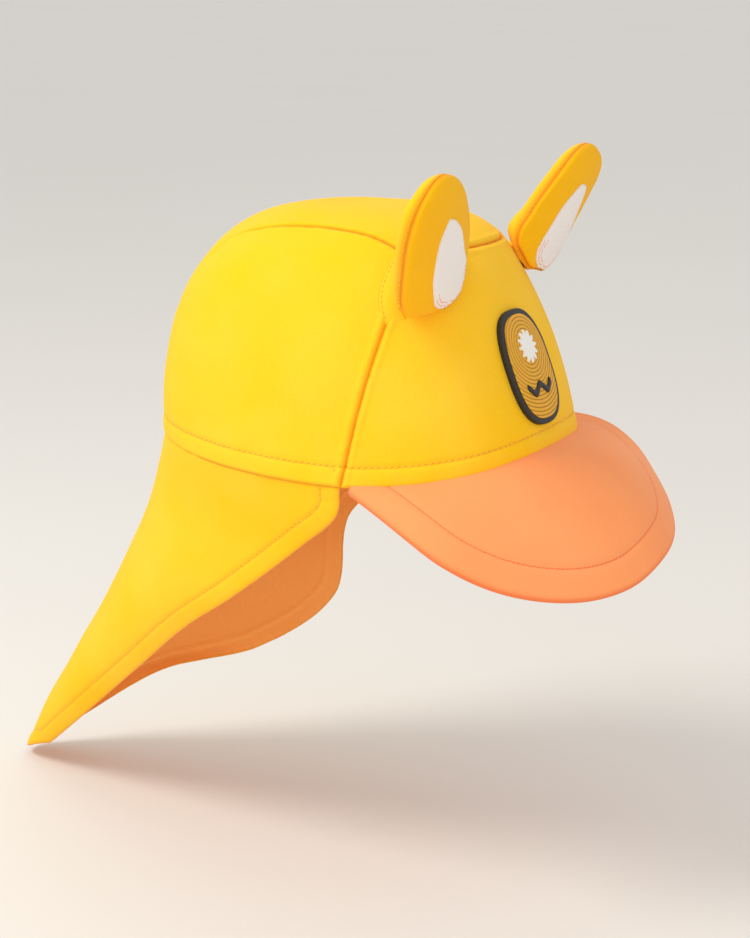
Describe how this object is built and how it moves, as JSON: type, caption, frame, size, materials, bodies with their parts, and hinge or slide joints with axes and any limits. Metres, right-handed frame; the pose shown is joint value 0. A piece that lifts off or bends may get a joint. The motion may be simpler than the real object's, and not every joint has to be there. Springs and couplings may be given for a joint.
{
  "type": "sun cap",
  "caption": "Toddler's sun cap in plain knit: panelled crown, soft peak, standing padded ears, moulded front badge and a lined neck flap that tapers to a tail.",
  "frame": {"origin": "centre of the head opening, level with the crown's rim at the temples", "axes": "the cap faces -Y, the wearer's left is +X and the crown's top is +Z"},
  "size_m": [0.163, 0.3128, 0.2858],
  "materials": {
    "yellow_cloth": "matt knitted swim cloth",
    "orange_cloth": "matt knitted swim cloth",
    "amber_cloth": "matt knitted swim cloth",
    "white_cloth": "matt brushed knit",
    "black_rubber": "matt moulded rubber",
    "gold_rubber": "matt moulded rubber",
    "white_rubber": "matt moulded rubber"
  },
  "bodies": {
    "root": {"crown_front": "yellow_cloth", "crown_center": "yellow_cloth", "crown_side_left": "yellow_cloth", "crown_side_right": "yellow_cloth", "peak": "orange_cloth", "neck_flap": "yellow_cloth", "flap_lining": "orange_cloth", "ear_back_left": "yellow_cloth", "ear_back_right": "yellow_cloth", "ear_front_left": "amber_cloth", "ear_front_right": "amber_cloth", "ear_patch_left": "white_cloth", "ear_patch_right": "white_cloth", "badge_base": "black_rubber", "badge_field": "gold_rubber", "badge_sun": "white_rubber", "badge_wave": "black_rubber"}
  },
  "joints": []
}
